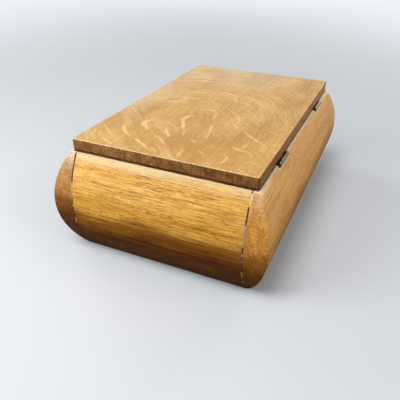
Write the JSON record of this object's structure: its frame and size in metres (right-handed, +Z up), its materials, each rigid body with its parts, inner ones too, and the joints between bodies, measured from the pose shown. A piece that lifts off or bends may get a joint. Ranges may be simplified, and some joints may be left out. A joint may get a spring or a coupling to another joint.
{
  "type": "recipe card box",
  "caption": "Desk box for index cards with bulged wooden sides, curved end panels and a flat lid on butt hinges.",
  "frame": {"origin": "middle of the underside, on the surface that the box stands on", "axes": "+X along the box to the right as seen from the front, +Y to the back where the hinges are, +Z up"},
  "size_m": [0.277, 0.181, 0.0991],
  "materials": {
    "body_oak": "varnished",
    "lid_oak": "varnished",
    "bottom_oak": "bare",
    "hinge_brass": "tarnished",
    "screw_steel": "tarnished"
  },
  "bodies": {
    "box": {"front_board": "body_oak", "back_board": "body_oak", "left_end_panel": "body_oak", "right_end_panel": "body_oak", "bottom_board": "bottom_oak", "left_hinge_box_leaf": "hinge_brass", "left_hinge_pin": "hinge_brass", "left_hinge_box_screw_left": "screw_steel", "left_hinge_box_screw_right": "screw_steel", "right_hinge_box_leaf": "hinge_brass", "right_hinge_pin": "hinge_brass", "right_hinge_box_screw_left": "screw_steel", "right_hinge_box_screw_right": "screw_steel"},
    "lid": {"lid_board": "lid_oak", "left_hinge_lid_leaf": "hinge_brass", "left_hinge_lid_screw_left": "screw_steel", "left_hinge_lid_screw_right": "screw_steel", "right_hinge_lid_leaf": "hinge_brass", "right_hinge_lid_screw_left": "screw_steel", "right_hinge_lid_screw_right": "screw_steel"}
  },
  "joints": [
    {"name": "lid_hinge", "type": "hinge", "parent": "box", "child": "lid", "pos_m": [0, 0.078, 0.0886], "axis": [-1, 0, 0], "range_deg": [0, 162]}
  ]
}
